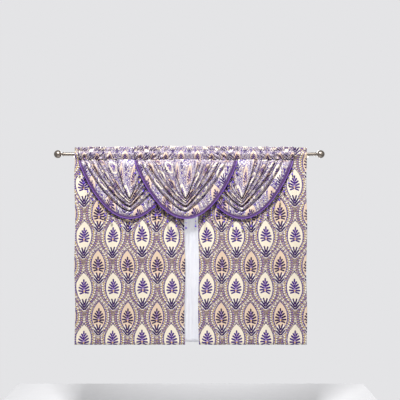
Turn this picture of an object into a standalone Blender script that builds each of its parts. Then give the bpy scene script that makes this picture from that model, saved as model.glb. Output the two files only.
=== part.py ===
"""Waterfall swag valances, curtains and a sheer on a double curtain rod.

Metres, +Z up, +X along the rods, +Y towards the wall. The origin lies on the wall, level with the
rods' axes and midway between the ends of the front rod. Every piece is one closed solid.
"""

import math

import bmesh
import bpy

GAP = 0.0003

# Hardware
ROD_RADIUS = 0.014
ROD_HALF_LENGTH = 1.050
ROD_Y = -0.105
BACK_ROD_RADIUS = 0.008
BACK_ROD_Y = -0.047
BACK_ROD_ENDS = (-0.980, 1.008)
ROD_SIDES = 24
BALL_RADIUS = 0.033
BALL_CENTRE = 1.103
COLLAR_RADIUS = 0.017
COLLAR_END = 1.064
NECK_RADIUS = 0.010
LATHE_SIDES = 20
BRACKET_X = (-0.972, 1.000)
BRACKET_THICKNESS = 0.004
PLATE_WIDTH = 0.024
PLATE_HALF_HEIGHT = 0.0135
PLATE_THICKNESS = 0.005
CRADLE_WALL = 0.005
CRADLE_LIP = -0.003

# Heading shared by every piece on the front rod
POCKET_BOTTOM = -0.043
PINCH_RISE = 0.005
CLOTH = 0.0015
SLEEVE_RADIUS = 0.0160
BACK_BULGE = 0.0012
LAYER_STEP = 0.0030
LAYER_ROOM = 0.0035
FRONT_ANGLES = (-20.0, 10.0, 40.0, 70.0)
BACK_ANGLES = (50.0, -5.0)
RUFFLE_TOP = (0.0565, 0.0615, 0.0665)
FOLD_ROUND = 0.004
BACK_LEG_BOTTOM = -0.036
RUFFLE_WAVE = 0.0022
COLUMN_PITCH = 0.054
END_COLUMN_ROOM = 0.004
PINCH_SWELL = 0.0005
PINCH_THICK = 1.4
TOP_THICK = 1.2
BACK_LEG_OUT = 0.003

# Panels
PANEL_SPANS = {"panel_left": (-0.960, -0.038), "panel_right": (0.075, 0.989)}
PANEL_BOTTOM = -1.600
PANEL_LEVELS = (0.0, 0.06 / 1.05, 0.22 / 1.05, 0.60 / 1.05, 1.0)
PANEL_FOLD = 0.0080

# Sheer
SHEER_SPAN = (-0.930, 0.960)
SHEER_BOTTOM = -1.585
SHEER_COLUMNS = 22
SHEER_CLOTH = 0.0010
SHEER_FOLD = 0.0070
SHEER_POCKET_BOTTOM = -0.026
SHEER_TOP = 0.036
SHEER_SLEEVE_ROOM = 0.0022
SHEER_PINCH_RISE = 0.008
SHEER_LEVELS = (0.0, 0.08, 0.35, 1.0)

# Swags: start of each row of folds left and right of the centre, its depth there and its relief
SWAG_CENTRES = {"left": -0.496, "middle": -0.027, "right": 0.442}
SWAG_ROWS = (
    (0.040, 0.040, 0.000, 0.30),
    (0.052, 0.052, 0.050, 0.40),
    (0.075, 0.075, 0.180, 0.55),
    (0.104, 0.098, 0.316, 1.00),
    (0.118, 0.112, 0.331, 0.25),
    (0.165, 0.142, 0.339, 0.85),
    (0.212, 0.171, 0.347, 0.00),
    (0.243, 0.198, 0.357, 0.90),
    (0.271, 0.224, 0.367, 0.00),
    (0.305, 0.257, 0.380, 1.00),
    (0.336, 0.289, 0.394, 0.00),
    (0.366, 0.318, 0.416, 1.00),
    (0.392, 0.350, 0.438, 0.05),
    (0.408, 0.388, 0.458, 0.70),
    (0.420, 0.420, 0.477, 0.35),
)
OPEN_ROW = 11
SWAG_COLUMNS = 16
SWAG_RELIEF = 0.016
SWAG_CLOTH = 0.0024
SWAG_STAND_OFF = {"left": 0.0150, "middle": 0.0412, "right": 0.0150}
STAND_OFF_DEPTH = {"left": 0.075, "middle": 0.050, "right": 0.075}
RELIEF_DEPTH = 0.050
FLAT_SHARE = 0.18
SEAM_GAP = 0.0008
HEADING_HALF_WIDTH = 0.434

# Trims: braid over the cloth's edge, then the tape of the bead fringe outside it
BRAID_INNER = (0.412, 0.466)
BRAID_OUTER = (0.4240, 0.4805)
TAPE_INNER = (0.4246, 0.4811)
TAPE_OUTER = (0.4340, 0.4910)
TRIM_CLOTH = 0.0020
TRIM_LIFT_AT_SEAM = {"left": 0.0038, "middle": 0.0075, "right": 0.0038}
TRIM_LIFT = 0.0075
STRANDS = 17
STRAND_WIDTH = 0.005
STRAND_DROP = 0.087
TRIM_START = 0.010


def material(name, rgb, roughness, metallic=0.0):
    """A plain Principled material."""
    made = bpy.data.materials.new(name)
    made.use_nodes = True
    shader = made.node_tree.nodes["Principled BSDF"]
    shader.inputs["Base Color"].default_value = (*rgb, 1.0)
    shader.inputs["Roughness"].default_value = roughness
    shader.inputs["Metallic"].default_value = metallic
    return made


def add_solid(name, points, faces, finish):
    """One named object from points and faces, with its faces turned outwards."""
    mesh = bpy.data.meshes.new(name)
    mesh.from_pydata(points, [], faces)
    shape = bmesh.new()
    shape.from_mesh(mesh)
    bmesh.ops.recalc_face_normals(shape, faces=shape.faces)
    if shape.calc_volume(signed=True) < 0.0:
        bmesh.ops.reverse_faces(shape, faces=shape.faces)
    shape.to_mesh(mesh)
    shape.free()
    mesh.materials.append(finish)
    solid = bpy.data.objects.new(name, mesh)
    bpy.context.collection.objects.link(solid)
    return solid


def smooth_step(t):
    """0 below 0, 1 above 1 and a smooth rise between."""
    t = min(max(t, 0.0), 1.0)
    return t * t * (3.0 - 2.0 * t)


def lathe(name, profile, side, finish):
    """A solid turned about the front rod's axis from (distance along the rod, radius) points."""
    points = []
    faces = []
    rings = []
    for along, radius in profile:
        if radius == 0.0:
            rings.append([len(points)])
            points.append((side * along, ROD_Y, 0.0))
            continue
        rings.append(list(range(len(points), len(points) + LATHE_SIDES)))
        for step in range(LATHE_SIDES):
            angle = 2.0 * math.pi * step / LATHE_SIDES
            points.append((side * along, ROD_Y + radius * math.cos(angle), radius * math.sin(angle)))
    for ring, following in zip(rings, rings[1:]):
        for step in range(LATHE_SIDES):
            after = (step + 1) % LATHE_SIDES
            if len(ring) == 1:
                faces.append((ring[0], following[step], following[after]))
            elif len(following) == 1:
                faces.append((ring[step], ring[after], following[0]))
            else:
                faces.append((ring[step], ring[after], following[after], following[step]))
    solid = add_solid(name, points, faces, finish)
    solid.data.shade_smooth()
    return solid


def round_bar(name, radius, y, ends, finish):
    """A straight round rod along X."""
    mesh = bpy.data.meshes.new(name)
    shape = bmesh.new()
    bmesh.ops.create_cone(
        shape, cap_ends=True, segments=ROD_SIDES, radius1=radius, radius2=radius, depth=ends[1] - ends[0]
    )
    shape.to_mesh(mesh)
    shape.free()
    mesh.materials.append(finish)
    bar = bpy.data.objects.new(name, mesh)
    bar.rotation_euler = (0.0, math.pi / 2.0, 0.0)
    bar.location = ((ends[0] + ends[1]) / 2.0, y, 0.0)
    bpy.context.collection.objects.link(bar)
    return bar


def notch(centre_y, radius, steps):
    """Points of a half-round notch, open at the top, from its wall side to its room side."""
    points = []
    for step in range(steps + 1):
        angle = math.pi * step / steps
        points.append((centre_y + radius * math.cos(angle), -radius * math.sin(angle) + CRADLE_LIP))
    return points


def bracket(name, x, finish):
    """A flat steel arm with a notch for each rod, on a small wall plate."""
    front_notch = ROD_RADIUS + 0.0010
    back_notch = BACK_ROD_RADIUS + 0.0010
    floor = -front_notch - CRADLE_WALL + CRADLE_LIP
    tip = ROD_Y - front_notch - CRADLE_WALL
    outline = [(-PLATE_THICKNESS, CRADLE_LIP)]
    outline += notch(BACK_ROD_Y, back_notch, 10)
    outline += notch(ROD_Y, front_notch, 12)
    outline += [(tip, CRADLE_LIP), (tip + 0.006, floor), (-0.045, floor), (-PLATE_THICKNESS, -PLATE_HALF_HEIGHT)]
    low = x - BRACKET_THICKNESS / 2.0
    high = x + BRACKET_THICKNESS / 2.0
    near = x - PLATE_WIDTH / 2.0
    far = x + PLATE_WIDTH / 2.0
    count = len(outline)
    points = [(low, y, z) for y, z in outline] + [(high, y, z) for y, z in outline]
    faces = [tuple(range(count)), tuple(range(count, 2 * count))]
    for step in range(count - 1):
        faces.append((step, step + 1, count + step + 1, count + step))
    front = -PLATE_THICKNESS
    corners = [(near, -PLATE_HALF_HEIGHT), (low, -PLATE_HALF_HEIGHT), (high, -PLATE_HALF_HEIGHT)]
    corners += [(far, -PLATE_HALF_HEIGHT), (far, PLATE_HALF_HEIGHT), (near, PLATE_HALF_HEIGHT)]
    base = len(points)
    points += [(cx, 0.0, cz) for cx, cz in corners]
    points += [(near, front, -PLATE_HALF_HEIGHT), (far, front, -PLATE_HALF_HEIGHT)]
    points += [(far, front, PLATE_HALF_HEIGHT), (near, front, PLATE_HALF_HEIGHT)]
    foot_low, foot_high = count - 1, 2 * count - 1
    top_low, top_high = 0, count
    b0, b1, b2, b3, b4, b5, n0, n1, n2, n3 = range(base, base + 10)
    faces.append((b0, b1, b2, b3, b4, b5))
    faces.append((b0, b1, foot_low, n0))
    faces.append((b1, b2, foot_high, foot_low))
    faces.append((b2, b3, n1, foot_high))
    faces.append((b3, b4, n2, n1))
    faces.append((b4, b5, n3, n2))
    faces.append((b5, b0, n0, n3))
    faces.append((n0, foot_low, top_low, n3))
    faces.append((foot_high, n1, n2, top_high))
    faces.append((top_low, top_high, n2, n3))
    return add_solid(name, points, faces, finish)


def sway(x):
    """Sway of the ruffles at one place along the rod, from -1 to 1."""
    return 0.65 * math.sin(x * 34.0 + 0.8) + 0.35 * math.sin(x * 19.0 + 2.1)


def rise_and_fall(x):
    """How far a ruffle's top edge stands above its mean height."""
    return 0.0022 * math.sin(x * 31.0 + 1.0) + 0.0012 * math.sin(x * 43.0)


def along_columns(rule, x):
    """A rule of x read straight between the shared columns, so that nested layers keep apart."""
    column = math.floor(x / COLUMN_PITCH)
    part = x / COLUMN_PITCH - column
    before = rule(column * COLUMN_PITCH)
    after = rule((column + 1) * COLUMN_PITCH)
    return before + (after - before) * part


def heading_wave(x, z):
    """Shared sway of everything that stands above the rod."""
    return RUFFLE_WAVE * smooth_step((z - 0.018) / 0.030) * along_columns(sway, x)


def columns_across(low, high):
    """The shared columns inside a span, with the span's own ends."""
    first = math.ceil((low + END_COLUMN_ROOM) / COLUMN_PITCH)
    last = math.floor((high - END_COLUMN_ROOM) / COLUMN_PITCH)
    return [low] + [column * COLUMN_PITCH for column in range(first, last + 1)] + [high]


def pocket_arc(radius, angles, sign):
    """Points (forward, up) on the pocket round the rod."""
    turns = [math.radians(angle) for angle in angles]
    return [(sign * radius * math.cos(turn), radius * math.sin(turn)) for turn in turns]


def offset_path(path, distance):
    """A path moved sideways by a distance, to its left as it runs."""
    moved = []
    for index, (a, b) in enumerate(path):
        before = path[max(index - 1, 0)]
        after = path[min(index + 1, len(path) - 1)]
        da, db = after[0] - before[0], after[1] - before[1]
        size = math.hypot(da, db)
        moved.append((a - db / size * distance, b + da / size * distance))
    return moved


def heading(name, centre, layer, finish):
    """A gathered strip folded over the rod, with its front leg down to the swag's seam."""
    radius = SLEEVE_RADIUS + LAYER_STEP * layer
    room = LAYER_ROOM * layer
    columns = []
    for x in columns_across(centre - HEADING_HALF_WIDTH, centre + HEADING_HALF_WIDTH):
        top = RUFFLE_TOP[layer] + along_columns(rise_and_fall, x)
        path = [(room, POCKET_BOTTOM)]
        path += pocket_arc(radius, FRONT_ANGLES, 1.0)
        path += [(room + PINCH_SWELL, radius + PINCH_RISE), (room, top - FOLD_ROUND), (0.0, top)]
        path += [(-room, top - FOLD_ROUND), (-room - PINCH_SWELL, radius + PINCH_RISE)]
        path += pocket_arc(radius + BACK_BULGE, BACK_ANGLES, -1.0)
        path += [(-room - BACK_LEG_OUT, BACK_LEG_BOTTOM)]
        outer = offset_path(path, -CLOTH / 2.0)
        inner = offset_path(path, CLOTH / 2.0)
        loop = outer + inner[::-1]
        columns.append([(x, ROD_Y - forward - heading_wave(x, z), z) for forward, z in loop])
    count = len(columns[0])
    half = count // 2
    points = [point for column in columns for point in column]
    faces = []
    for column in range(len(columns) - 1):
        here = column * count
        there = here + count
        for step in range(count):
            after = (step + 1) % count
            faces.append((here + step, here + after, there + after, there + step))
    for base in (0, (len(columns) - 1) * count):
        for step in range(half - 1):
            faces.append((base + step, base + step + 1, base + count - 2 - step, base + count - 1 - step))
    return add_solid(name, points, faces, finish)


def cut_quad(a, b, c, d, other_way):
    """A quad as two triangles. The two sides of a cloth are cut along matching diagonals."""
    if other_way:
        return [(a, b, d), (b, c, d)]
    return [(a, b, c), (a, c, d)]


def hung_cloth(name, columns_x, spec, finish):
    """A rod pocket with a stem above it and a cloth below it, as one solid with the rod's hole."""
    rows = []
    for x in columns_x:
        front = [(spec["half"], spec["seam"])]
        front += pocket_arc(spec["radius"] + spec["cloth"], spec["front"], 1.0)
        front += [(spec["half"] * PINCH_THICK, spec["pinch"])]
        top = spec["top"] + along_columns(rise_and_fall, x) * spec["sway"]
        front += [(spec["half"] * TOP_THICK, top)]
        back = [(-spec["half"] * TOP_THICK, top), (-spec["half"] * PINCH_THICK, spec["pinch"])]
        back += pocket_arc(spec["radius"] + spec["cloth"] + BACK_BULGE, BACK_ANGLES, -1.0)
        back += [(-spec["half"], spec["seam"])]
        inner = [(0.0, spec["seam"] + 2.0 * spec["cloth"])]
        inner += pocket_arc(spec["radius"], spec["front"], 1.0)
        inner += [(0.0, spec["pinch"] - 2.0 * spec["cloth"])]
        inner += pocket_arc(spec["radius"] + BACK_BULGE, BACK_ANGLES, -1.0)
        skirt = []
        for level in spec["levels"][1:]:
            depth = level * (spec["seam"] - spec["bottom"])
            skirt.append((spec["fold"](x, depth), spec["seam"] - depth, spec["drift"](x, depth)))
        outer = [(x, spec["y"] - f - heading_wave(x, z) * spec["sway"], z) for f, z in front + back]
        hole = [(x, spec["y"] - f, z) for f, z in inner]
        near = [(x + dx, spec["y"] - f - spec["half"], z) for f, z, dx in skirt]
        far = [(x + dx, spec["y"] - f + spec["half"], z) for f, z, dx in skirt]
        rows.append(outer + far + near[::-1] + hole)
    heads = len(front) + len(back)
    wrap = heads + 2 * len(skirt)
    count = wrap + len(inner)
    points = [point for row in rows for point in row]
    faces = []
    for column in range(len(columns_x) - 1):
        here = column * count
        there = here + count
        for first, size in ((0, wrap), (wrap, len(inner))):
            for step in range(size):
                a = first + step
                b = first + (step + 1) % size
                viewer_side = first == 0 and step >= heads + len(skirt)
                faces += cut_quad(here + a, here + b, there + b, there + a, viewer_side)
    arc_front = len(spec["front"])
    arc_back = len(BACK_ANGLES)
    for base in (0, (len(columns_x) - 1) * count):
        pinch_front = arc_front + 1
        pinch_back = len(front) + 1
        faces.append((base + pinch_front, base + pinch_front + 1, base + len(front), base + pinch_back))
        faces.append((base + pinch_front, base + pinch_back, base + wrap + arc_front + 1))
        for step in range(arc_front + 1):
            faces.append((base + step, base + step + 1, base + wrap + step + 1, base + wrap + step))
        for step in range(arc_back + 1):
            inside = wrap + arc_front + 1 + step
            beyond = wrap + (arc_front + 2 + step) % len(inner)
            faces.append((base + pinch_back + step, base + pinch_back + step + 1, base + beyond, base + inside))
        faces.append((base, base + wrap, base + heads - 1))
        near_side = [0] + [wrap - 1 - step for step in range(len(skirt))]
        far_side = [heads - 1 + step for step in range(len(skirt) + 1)]
        for step in range(len(skirt)):
            near_edge = (base + near_side[step], base + near_side[step + 1])
            faces.append((*near_edge, base + far_side[step + 1], base + far_side[step]))
    return add_solid(name, points, faces, finish)


def panel_fold(x, depth):
    """How far the panel's folds stand forward of the rod's plane."""
    grow = 0.25 + 0.75 * smooth_step(depth / 0.30)
    lean = 0.12 * math.sin(depth * 3.1 + x * 2.0)
    main = 0.70 * math.sin(2.0 * math.pi * x / 0.205 + 0.9 + lean)
    return PANEL_FOLD * grow * (main + 0.30 * math.sin(2.0 * math.pi * x / 0.310 + 2.4))


def panel_drift(x, depth):
    """Slight sideways sway of the panel's threads, which makes its edges uneven."""
    return 0.004 * smooth_step(depth / 0.1) * math.sin(depth * 8.5 + x * 3.0)


def sheer_fold(x, depth):
    """Soft shallow folds of the sheer."""
    grow = 0.30 + 0.70 * smooth_step(depth / 0.30)
    return SHEER_FOLD * grow * math.sin(2.0 * math.pi * x / 0.345 + 0.4 * math.sin(depth * 2.0))


def no_drift(x, depth):
    """The sheer hangs straight."""
    return 0.0 * x * depth


def spaced(span, cells):
    """Evenly spaced places across a span."""
    return [span[0] + (span[1] - span[0]) * cell / cells for cell in range(cells + 1)]


def row_shape(row):
    """Roundness of a row of folds on each side: straight near the middle, round at the edge."""
    round_part = smooth_step((row - OPEN_ROW) / (len(SWAG_ROWS) - 1 - OPEN_ROW))
    left = (1.35 + 0.65 * round_part, 0.86 + 0.02 * round_part)
    right = (1.10 + 0.90 * round_part, 0.80 + 0.08 * round_part)
    return left, right


def stand_off(side, depth):
    """How far a swag's valleys stand forward of the rod's plane at a depth below its seam."""
    layer = 2 if side == "middle" else 1
    seam = LAYER_ROOM * layer
    return seam + (SWAG_STAND_OFF[side] - seam) * smooth_step(depth / STAND_OFF_DEPTH[side])


def drape(across, left, right, depth, shape):
    """Sideways place and depth of a point of a fold line, across running from -1 to 1."""
    reach = left if across < 0.0 else right
    power, bend = shape[0] if across < 0.0 else shape[1]
    part = 1.0 - abs(across) ** power
    return reach * across, depth * max(part, 0.0) ** bend


def across_stops(cells):
    """Stops from -1 to 1, closer together towards the seam."""
    return [math.sin(math.pi * (stop / cells - 0.5)) for stop in range(cells + 1)]


def plate_solid(name, points, faces, thickness, finish):
    """A closed solid from an open surface, thickened along Y."""
    count = len(points)
    half = thickness / 2.0
    doubled = [(x, y - half, z) for x, y, z in points] + [(x, y + half, z) for x, y, z in points]
    shell = [tuple(corner + count for corner in face[::-1]) for face in faces]
    shell += [tuple(face) for face in faces]
    sides = {}
    for face in faces:
        for a, b in zip(face, face[1:] + face[:1]):
            sides[(a, b)] = sides.get((a, b), 0) + 1
    for a, b in sides:
        if (b, a) not in sides:
            shell.append((a, b, b + count, a + count))
    return add_solid(name, doubled, shell, finish)


def swag(side, finish):
    """The draped cloth of one swag, from its seam at the heading to its cut edge."""
    centre = SWAG_CENTRES[side]
    stops = across_stops(SWAG_COLUMNS)
    points = []
    for row, (left, right, depth, relief) in enumerate(SWAG_ROWS):
        for across in stops:
            place, drop = drape(across, left, right, depth, row_shape(row))
            swell = FLAT_SHARE + (1.0 - FLAT_SHARE) * (1.0 - across * across)
            forward = stand_off(side, drop) + SWAG_RELIEF * relief * swell * smooth_step(drop / RELIEF_DEPTH)
            points.append((centre + place, ROD_Y - forward, POCKET_BOTTOM - SEAM_GAP - drop))
    width = len(stops)
    faces = []
    for row in range(len(SWAG_ROWS) - 1):
        for column in range(width - 1):
            a = row * width + column
            faces += cut_quad(a, a + 1, a + width + 1, a + width, False)
    return plate_solid(f"swag_{side}", points, faces, SWAG_CLOTH, finish)


def edge_forward(side, across, drop):
    """How far the swag's cut edge stands forward, which its trims follow."""
    swell = FLAT_SHARE + (1.0 - FLAT_SHARE) * (1.0 - across * across)
    return stand_off(side, drop) + SWAG_RELIEF * SWAG_ROWS[-1][3] * swell * smooth_step(drop / RELIEF_DEPTH)


def trim_point(side, across, curve):
    """A point of a trim's curve (half width, depth), lifted forward off the cloth."""
    place, drop = drape(across, curve[0], curve[0], curve[1], row_shape(len(SWAG_ROWS) - 1))
    seam_lift = TRIM_LIFT_AT_SEAM[side]
    lift = seam_lift + (TRIM_LIFT - seam_lift) * smooth_step(drop / RELIEF_DEPTH)
    forward = edge_forward(side, across, drop + TRIM_START) + lift
    return SWAG_CENTRES[side] + place, ROD_Y - forward, POCKET_BOTTOM - TRIM_START - drop


def braid(side, finish):
    """The flat braid sewn over the swag's cut edge."""
    stops, _ = trim_stops()
    points = [trim_point(side, across, BRAID_INNER) for across in stops]
    points += [trim_point(side, across, BRAID_OUTER) for across in stops]
    width = len(stops)
    faces = [(a, a + 1, a + width + 1, a + width) for a in range(width - 1)]
    return plate_solid(f"trim_{side}", points, faces, TRIM_CLOTH, finish)


def strand_places():
    """Where the strands hang: evenly spaced along the tape's outer curve, as across values."""
    fine = [stop / 400.0 for stop in range(-399, 400)]
    shape = row_shape(len(SWAG_ROWS) - 1)
    curve = [drape(across, TAPE_OUTER[0], TAPE_OUTER[0], TAPE_OUTER[1], shape) for across in fine]
    lengths = [0.0]
    for a, b in zip(curve, curve[1:]):
        lengths.append(lengths[-1] + math.dist(a, b))
    places = []
    for strand in range(STRANDS):
        target = lengths[-1] * (strand + 0.5) / STRANDS
        index = next(i for i, length in enumerate(lengths) if length >= target)
        places.append(fine[index])
    return places


def trim_stops():
    """Stops along both trims, as across values, and the index of each strand's first stop."""
    half = STRAND_WIDTH / 2.0 / TAPE_OUTER[0]
    stops = [-1.0]
    teeth = []
    for across in strand_places():
        teeth.append(len(stops))
        stops += [across - half, across + half]
    stops.append(1.0)
    return stops, teeth


def fringe(side, finish):
    """The bead fringe: a tape along the braid with one plain strand below each of its places."""
    stops, teeth = trim_stops()
    width = len(stops)
    points = [trim_point(side, across, TAPE_INNER) for across in stops]
    points += [trim_point(side, across, TAPE_OUTER) for across in stops]
    faces = [(a, a + 1, a + width + 1, a + width) for a in range(width - 1)]
    for tooth in teeth:
        left = width + tooth
        low = min(points[left][2], points[left + 1][2]) - STRAND_DROP
        base = len(points)
        points.append((points[left][0], points[left][1], low))
        points.append((points[left + 1][0], points[left + 1][1], low))
        faces.append((left, left + 1, base + 1, base))
    return plate_solid(f"fringe_{side}", points, faces, TRIM_CLOTH, finish)


for old in list(bpy.data.objects):
    bpy.data.objects.remove(old, do_unlink=True)

metal = material("brushed_nickel", (0.50, 0.47, 0.43), 0.32, 1.0)
print_cloth = material("printed_satin", (0.55, 0.46, 0.55), 0.45)
sheer_cloth = material("white_voile", (0.90, 0.90, 0.93), 0.80)
braid_cloth = material("plum_braid", (0.10, 0.03, 0.16), 0.60)
bead_cloth = material("violet_beads", (0.20, 0.07, 0.50), 0.35)

round_bar("rod", ROD_RADIUS, ROD_Y, (-ROD_HALF_LENGTH, ROD_HALF_LENGTH), metal)
round_bar("back_rod", BACK_ROD_RADIUS, BACK_ROD_Y, BACK_ROD_ENDS, metal)

neck_angle = math.asin(NECK_RADIUS / BALL_RADIUS)
finial_profile = [
    (ROD_HALF_LENGTH + GAP, 0.0),
    (ROD_HALF_LENGTH + GAP, COLLAR_RADIUS),
    (COLLAR_END - 0.004, COLLAR_RADIUS),
    (COLLAR_END, COLLAR_RADIUS - 0.003),
    (COLLAR_END + 0.001, NECK_RADIUS),
]
BALL_STEPS = 9
for ball_step in range(BALL_STEPS + 1):
    turn = neck_angle + (math.pi - neck_angle) * ball_step / BALL_STEPS
    ball_radius = 0.0 if ball_step == BALL_STEPS else BALL_RADIUS * math.sin(turn)
    finial_profile.append((BALL_CENTRE - BALL_RADIUS * math.cos(turn), ball_radius))
lathe("finial_left", finial_profile, -1.0, metal)
lathe("finial_right", finial_profile, 1.0, metal)

bracket("bracket_left", BRACKET_X[0], metal)
bracket("bracket_right", BRACKET_X[1], metal)

panel_spec = {
    "half": CLOTH / 2.0,
    "seam": POCKET_BOTTOM,
    "radius": SLEEVE_RADIUS - CLOTH / 2.0,
    "cloth": CLOTH,
    "front": FRONT_ANGLES,
    "pinch": SLEEVE_RADIUS + PINCH_RISE,
    "top": RUFFLE_TOP[0],
    "y": ROD_Y,
    "sway": 1.0,
    "levels": PANEL_LEVELS,
    "bottom": PANEL_BOTTOM,
    "fold": panel_fold,
    "drift": panel_drift,
}
for panel_name, panel_span in PANEL_SPANS.items():
    hung_cloth(panel_name, columns_across(*panel_span), panel_spec, print_cloth)

sheer_spec = {
    "half": SHEER_CLOTH / 2.0,
    "seam": SHEER_POCKET_BOTTOM,
    "radius": BACK_ROD_RADIUS + SHEER_SLEEVE_ROOM,
    "cloth": SHEER_CLOTH,
    "front": BACK_ANGLES[::-1],
    "pinch": BACK_ROD_RADIUS + SHEER_PINCH_RISE,
    "top": SHEER_TOP,
    "y": BACK_ROD_Y,
    "sway": 0.0,
    "levels": SHEER_LEVELS,
    "bottom": SHEER_BOTTOM,
    "fold": sheer_fold,
    "drift": no_drift,
}
hung_cloth("sheer", spaced(SHEER_SPAN, SHEER_COLUMNS), sheer_spec, sheer_cloth)

for swag_side, swag_centre in SWAG_CENTRES.items():
    heading(f"heading_{swag_side}", swag_centre, 2 if swag_side == "middle" else 1, print_cloth)
    swag(swag_side, print_cloth)
    braid(swag_side, braid_cloth)
    fringe(swag_side, bead_cloth)
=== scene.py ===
import math

import bpy
import numpy as np
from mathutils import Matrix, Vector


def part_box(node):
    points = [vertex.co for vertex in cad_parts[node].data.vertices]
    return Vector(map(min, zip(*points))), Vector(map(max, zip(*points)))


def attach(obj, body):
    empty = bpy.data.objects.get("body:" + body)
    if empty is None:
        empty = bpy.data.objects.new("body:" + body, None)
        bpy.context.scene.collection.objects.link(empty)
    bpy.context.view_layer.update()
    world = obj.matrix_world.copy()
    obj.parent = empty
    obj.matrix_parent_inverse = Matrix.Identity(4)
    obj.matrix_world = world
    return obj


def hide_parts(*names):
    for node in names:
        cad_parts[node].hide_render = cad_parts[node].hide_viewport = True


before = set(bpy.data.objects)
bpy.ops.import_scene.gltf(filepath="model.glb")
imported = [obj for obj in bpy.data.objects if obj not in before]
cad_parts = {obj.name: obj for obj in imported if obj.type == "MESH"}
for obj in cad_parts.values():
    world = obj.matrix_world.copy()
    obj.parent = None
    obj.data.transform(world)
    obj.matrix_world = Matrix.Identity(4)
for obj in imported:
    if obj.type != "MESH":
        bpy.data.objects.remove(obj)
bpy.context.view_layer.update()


# Room and camera: a pale floor below the hems, soft studio light from above and in front, a weaker light
# behind the cloth, and a straight view from the front.
FLOOR_Z = -2.20
CAMERA_PLACE = (0.090, -8.035, -0.385)
LENS_MM = 85.0
LIGHTS_AIM = (0.0, -0.1, -0.6)


def linear(hex_colour):
    """An sRGB hex colour as linear red, green and blue, with full alpha."""
    values = [int(hex_colour[i : i + 2], 16) / 255.0 for i in (1, 3, 5)]
    return (*[v / 12.92 if v <= 0.04045 else ((v + 0.055) / 1.055) ** 2.4 for v in values], 1.0)


def add(tree, kind, links=None, out=0, **settings):
    """Adds one shader node with its settings, and sets or links its inputs by name or number."""
    made = tree.nodes.new("ShaderNode" + kind)
    for key, value in settings.items():
        setattr(made, key, value)
    for slot, value in (links or {}).items():
        if isinstance(value, bpy.types.NodeSocket):
            tree.links.new(value, made.inputs[slot])
        else:
            made.inputs[slot].default_value = value
    return made.outputs[out] if len(made.outputs) else made


def blank_material(name):
    """An empty material with its output node, and its tree."""
    material = bpy.data.materials.new(name)
    material.use_nodes = True
    tree = material.node_tree
    tree.nodes.clear()
    return material, tree


camera_data = bpy.data.cameras.new("camera")
camera_data.lens = LENS_MM
camera_data.sensor_width = 36.0
camera = bpy.data.objects.new("camera", camera_data)
camera.location = CAMERA_PLACE
camera.rotation_euler = (math.pi / 2.0, 0.0, 0.0)
bpy.context.scene.collection.objects.link(camera)
bpy.context.scene.camera = camera
bpy.context.scene.view_settings.view_transform = "Standard"

world = bpy.data.worlds.new("studio")
world.use_nodes = True
sky = world.node_tree
sky.nodes.clear()
seen = add(sky, "Background", {"Color": linear("#E4E4E6"), "Strength": 1.0})
lit = add(sky, "Background", {"Color": linear("#F2F2F6"), "Strength": 0.04})
direct = add(sky, "LightPath", out=0)
mirrored = add(sky, "LightPath", out=3)
mirrored_share = add(sky, "Math", {0: mirrored, 1: 0.35}, operation="MULTIPLY")
bright_share = add(sky, "Math", {0: direct, 1: mirrored_share}, operation="MAXIMUM")
both = add(sky, "MixShader", {0: bright_share, 1: lit, 2: seen})
add(sky, "OutputWorld", {"Surface": both})
bpy.context.scene.world = world

for light_name, place, size, power in (
    ("key", (-0.3, -3.5, 3.3), 1.1, 400.0),
    ("fill", (2.8, -4.4, 0.4), 2.2, 20.0),
    ("back", (0.3, 3.0, 0.2), 2.4, 128.0),
):
    lamp = bpy.data.lights.new(light_name, "AREA")
    lamp.shape = "SQUARE"
    lamp.size = size
    lamp.energy = power
    lamp_object = bpy.data.objects.new(light_name, lamp)
    lamp_object.location = place
    aim = np.array(LIGHTS_AIM) - np.array(place)
    lamp_object.rotation_euler = (
        math.atan2(math.hypot(aim[0], aim[1]), -aim[2]),
        0.0,
        math.atan2(aim[1], aim[0]) - math.pi / 2.0,
    )
    bpy.context.scene.collection.objects.link(lamp_object)

bpy.ops.mesh.primitive_plane_add(size=3.4, location=(0.0, -0.4, FLOOR_Z))
floor = bpy.context.object
floor.name = "floor"
floor_material, floor_tree = blank_material("pale_matt_floor")
speckle = add(floor_tree, "TexNoise", {"Scale": 40.0, "Detail": 3.0})
floor_greys = {0: speckle, 6: linear("#DEDEE0"), 7: linear("#E6E6E8")}
floor_colour = add(floor_tree, "Mix", floor_greys, out=2, data_type="RGBA")
floor_shader = add(floor_tree, "BsdfPrincipled", {"Base Color": floor_colour, "Roughness": 0.85})
add(floor_tree, "OutputMaterial", {"Surface": floor_shader})
floor.data.materials.append(floor_material)


# Rods, finials and brackets: steel tube and cast ball ends with a satin brushed nickel plating. The
# plating gives a soft bright line along each rod, drawn out by the brushing round its axis.
ROD_RADIUS = 0.014
ROD_Y = -0.105
BACK_ROD_Y = -0.047
BACK_ROD_RADIUS = 0.008
BALL_RADIUS = 0.033
BALL_CENTRE = 1.103
LATHE_SIDES = 64

nickel, nickel_tree = blank_material("brushed_nickel")
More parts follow.
